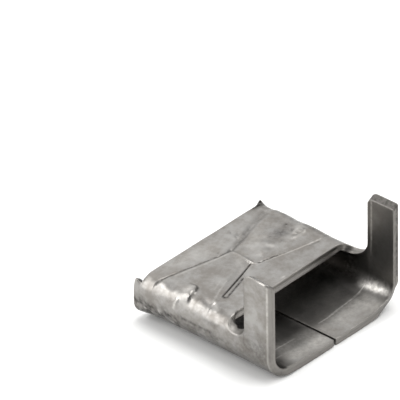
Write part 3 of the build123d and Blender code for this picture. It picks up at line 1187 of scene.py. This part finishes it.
        fall = self.tip_fall * np.clip(1.0 - strip.past_tip / self.tip_run, 0.0, 1.0) * strip.on_ear
        bent = smooth(-strip.to_back / (blank.top_front(s) - blank.ear_back(s)))
        taper_s, taper_y = self.tapered(strip)
        x, z, nx, nz = sleeve.place(s + (np.sign(s) * fall + taper_s) * below, bent)
        up = z + nz * lift + marks.moved(marks.curls, s, y)
        folded = np.column_stack((x + nx * lift, y + self.sloped(strip) + taper_y * below, up))
        folded[:, 0] = np.clip(folded[:, 0], -sleeve.side_x, sleeve.side_x)
        folded[:, 2] = np.maximum(folded[:, 2], 0.0)
        set_places(sheet.data, folded * MM)
        for name, values in strip.fields(marks, grime_and_shade, shine).items():
            layer = sheet.data.attributes.new(name.value, "FLOAT", "POINT")
            layer.data.foreach_set("value", values.astype(np.float32))

    def build(self) -> bpy.types.Object:
        """Makes the whole piece.

        Returns:
            The finished mesh object, at the origin and in metres.
        """
        sheet = self.punch()
        self.thicken(sheet)
        self.press_and_fold(sheet)
        enter(sheet, "OBJECT")
        bpy.ops.object.shade_smooth_by_angle(angle=self.smooth_angle)
        return sheet


@dataclass(frozen=True)
class SatinStainless:
    """Stainless strip as rolled and tumbled: warm mid grey, satin, with soiling and painted shade in its
    creases, painted shade inside and painted highlights.
    """

    clean: str = "#9d9b98"
    stained: str = "#86827d"
    # Darkest colour: soiling, and painted shade
    dirt_and_shade: str = "#2b2825"
    # Lightest colour: burnished wear, and painted highlights
    rubbed_and_highlight: str = "#c6c3be"
    shaded: str = "#5d5b58"
    cut: str = "#85827e"
    roughness: Bound = (0.32, 0.46)
    breaking: Bound = (0.6, 1.25)
    # Patterns: size in millimetres, detail and roughness. The rolled grain is finer on real
    # strip, and is drawn as coarse as it needs to show
    cloud_mm: tuple[float, float, float] = (2.5, 5.0, 0.7)
    grain_mm: tuple[float, float, float] = (0.16, 2.0, 0.5)
    spot_mm: tuple[float, float, float] = (0.5, 3.0, 0.6)
    grain_strength: float = 0.25
    grain_depth_mm: float = 0.01

    def make(self) -> bpy.types.Material:
        """Makes the material.

        Returns:
            A material that reads the piece's own points and Object coordinates.
        """
        material = bpy.data.materials.new("satin_stainless_strip")
        material.use_nodes = True
        tree = material.node_tree
        tree.nodes.clear()
        place = add_node(tree, "ShaderNodeTexCoord").outputs["Object"]
        in_mm = add_node(
            tree, "ShaderNodeMapping", inputs={"Vector": place, "Scale": (1 / MM, 1 / MM, 1 / MM)}
        ).outputs["Vector"]
        cloud, grain, spots = (
            add_node(
                tree,
                "ShaderNodeTexNoise",
                inputs={"Vector": in_mm, "Scale": 1 / size, "Detail": detail, "Roughness": rough},
            ).outputs["Fac"]
            for size, detail, rough in (self.cloud_mm, self.grain_mm, self.spot_mm)
        )
        cloud_share, breaking, roughness = (
            add_node(
                tree,
                "ShaderNodeMapRange",
                inputs={
                    "Value": value, "From Min": low, "From Max": 1.0 - low, "To Min": least, "To Max": full,
                },
            ).outputs["Result"]
            for value, low, (least, full) in (
                (cloud, 0.38, (0.0, 1.0)), (spots, 0.38, self.breaking), (cloud, 0.3, self.roughness)
            )
        )
        # Over the clean colour go random stains, painted inner shade, burnished wear with painted highlights,
        # the cut edges' colour, and soiling with painted shade
        colour = linear(self.clean)
        for share, over, is_broken in (
            (cloud_share, self.stained, False),
            (Field.INSIDE, self.shaded, False),
            (Field.BURNISH_AND_HIGHLIGHT, self.rubbed_and_highlight, True),
            (Field.EDGE, self.cut, False),
            (Field.GRIME_AND_SHADE, self.dirt_and_shade, True),
        ):
            if isinstance(share, Field):
                reader = add_node(tree, "ShaderNodeAttribute", {"attribute_name": share.value})
                share = reader.outputs["Fac"]
            if is_broken:
                clamped = {"operation": "MULTIPLY", "use_clamp": True}
                share = add_node(tree, "ShaderNodeMath", clamped, {0: share, 1: breaking}).outputs["Value"]
            layers = {0: share, 6: colour, 7: linear(over)}
            colour = add_node(tree, "ShaderNodeMix", {"data_type": "RGBA"}, layers).outputs[2]
        bump = add_node(
            tree,
            "ShaderNodeBump",
            inputs={"Height": grain, "Strength": self.grain_strength, "Distance": self.grain_depth_mm * MM},
        ).outputs["Normal"]
        shader = add_node(
            tree,
            "ShaderNodeBsdfPrincipled",
            inputs={"Base Color": colour, "Metallic": 1.0, "Roughness": roughness, "Normal": bump},
        )
        add_node(tree, "ShaderNodeOutputMaterial", inputs={"Surface": shader.outputs["BSDF"]})
        return material


# The studio


@dataclass(frozen=True)
class SoftBox:
    """One soft light: where it stands as seen from the buckle, and its size in metres."""

    name: str
    towards: tuple[float, float, float]
    away: float
    size: float
    power: float


@dataclass(frozen=True)
class Studio:
    """A white table under a pale sky, soft lights and the camera."""

    azimuth: float = math.radians(-47.13)
    elevation: float = math.radians(32.802)
    roll: float = math.radians(-1.118)
    distance: float = 0.8
    aim: tuple[float, float, float] = (0.000412, 0.011336, 0.011417)
    focal_px: float = 6422.94
    frame_px: float = 400.0
    centre_px: tuple[float, float] = (200.045, 202.106)
    sensor_mm: float = 36.0
    table: str = "#fbfbfa"
    pale_wall: tuple[float, float, float] = (0.34, 0.75, 0.56)
    wall_greys: Points = ((0.0, 0.1), (0.4, 0.2), (0.75, 0.35), (0.9, 0.7), (0.974, 1.3), (1.0, 1.8))
    lights: tuple[SoftBox, ...] = (
        SoftBox("left_softbox", (-0.7, 0.572, 0.42), 0.45, 0.34, 1.1),
        SoftBox("left_high_softbox", (-0.45, 0.5, 0.74), 0.5, 0.16, 0.3),
        SoftBox("high_softbox", (0.2, -0.1, 1.0), 0.6, 0.5, 2.4),
        SoftBox("front_fill", (0.45, -0.8, 0.55), 0.7, 0.5, 1.6),
    )

    def add_camera(self) -> None:
        """Adds the camera at the photograph's angle and makes it the scene's own."""
        data = bpy.data.cameras.new("photo_camera")
        data.sensor_fit = "HORIZONTAL"
        data.sensor_width = self.sensor_mm
        data.lens = self.focal_px * self.sensor_mm / self.frame_px
        half = self.frame_px / 2
        data.shift_x = (half - self.centre_px[0]) / self.frame_px
        data.shift_y = (self.centre_px[1] - half) / self.frame_px
        data.clip_start = 0.05
        data.clip_end = 5.0
        towards = Vector((
            math.sin(self.azimuth) * math.cos(self.elevation),
            -math.cos(self.azimuth) * math.cos(self.elevation),
            math.sin(self.elevation),
        ))
        camera = bpy.data.objects.new("photo_camera", data)
        turn = towards.to_track_quat("Z", "Y").to_matrix() @ Matrix.Rotation(self.roll, 3, "Z")
        camera.matrix_world = Matrix.Translation(
            Vector(self.aim) + towards * self.distance
        ) @ turn.to_4x4()
        bpy.context.scene.collection.objects.link(camera)
        bpy.context.scene.camera = camera

    def add_table(self) -> None:
        """Adds the pale floor."""
        bpy.ops.object.select_all(action="DESELECT")
        bpy.ops.mesh.primitive_plane_add(size=3.0, location=(0, 0, 0))
        floor = bpy.context.object
        floor.name = "table"
        material = bpy.data.materials.new("white_table")
        material.use_nodes = True
        shader = material.node_tree.nodes["Principled BSDF"]
        shader.inputs["Base Color"].default_value = linear(self.table)
        shader.inputs["Roughness"].default_value = 0.9
        shader.inputs["Specular IOR Level"].default_value = 0.0
        floor.data.materials.append(material)

    def add_sky(self) -> None:
        """Adds the studio's surroundings: a pale wall behind on the right, dimmer round the rest."""
        world = bpy.data.worlds.new("studio")
        bpy.context.scene.world = world
        world.use_nodes = True
        tree = world.node_tree
        tree.nodes.clear()
        way = add_node(tree, "ShaderNodeTexCoord").outputs["Generated"]
        facing = add_node(
            tree, "ShaderNodeVectorMath", {"operation": "DOT_PRODUCT"}, {0: way, 1: self.pale_wall}
        ).outputs["Value"]
        share = add_node(tree, "ShaderNodeMapRange", inputs={"Value": facing, "From Min": -1.0})
        shade = add_node(tree, "ShaderNodeValToRGB", inputs={0: share.outputs["Result"]})
        stops = shade.color_ramp.elements
        for stop, (at, grey) in zip((stops[0], stops[1]), (self.wall_greys[0], self.wall_greys[-1])):
            stop.position = at
            stop.color = (grey, grey, grey, 1)
        for at, grey in self.wall_greys[1:-1]:
            stops.new(at).color = (grey, grey, grey, 1)
        back = add_node(
            tree, "ShaderNodeBackground", inputs={"Color": shade.outputs["Color"], "Strength": 1.0}
        )
        add_node(tree, "ShaderNodeOutputWorld", inputs={"Surface": back.outputs["Background"]})

    def add_lights(self) -> None:
        """Adds the soft lights, each turned to the buckle."""
        for box in self.lights:
            data = bpy.data.lights.new(box.name, "AREA")
            data.shape = "DISK"
            data.size = box.size
            data.energy = box.power
            light = bpy.data.objects.new(box.name, data)
            towards = Vector(box.towards).normalized()
            turn = towards.to_track_quat("Z", "Y").to_matrix().to_4x4()
            light.matrix_world = Matrix.Translation(towards * box.away) @ turn
            bpy.context.scene.collection.objects.link(light)

    def build(self) -> None:
        """Sets up the whole studio."""
        self.add_camera()
        self.add_table()
        self.add_sky()
        self.add_lights()
        view = bpy.context.scene.view_settings
        view.view_transform = "Standard"
        view.look = "None"


def main() -> None:
    """Builds the buckle and its studio."""
    logging.basicConfig(level=logging.INFO, format="%(name)s: %(message)s")
    low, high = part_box(NODE)
    size = (high - low) / MM
    blank = Blank(
        Sleeve(width=size.x, length=size.y),
        left=Ear(width=4.32, height=size.z - 0.2, slot_setback=0.9, drop=0.3),
        right=Ear(width=4.4, height=size.z, slot_setback=1.58),
    )
    strip = Buckle(blank).build()
    strip.data.materials.clear()
    strip.data.materials.append(SatinStainless().make())
    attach(strip, "root")
    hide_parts(NODE)
    log.info("%s: %d points, %d faces", strip.name, len(strip.data.vertices), len(strip.data.polygons))
    Studio().build()


if __name__ == "__main__":
    main()
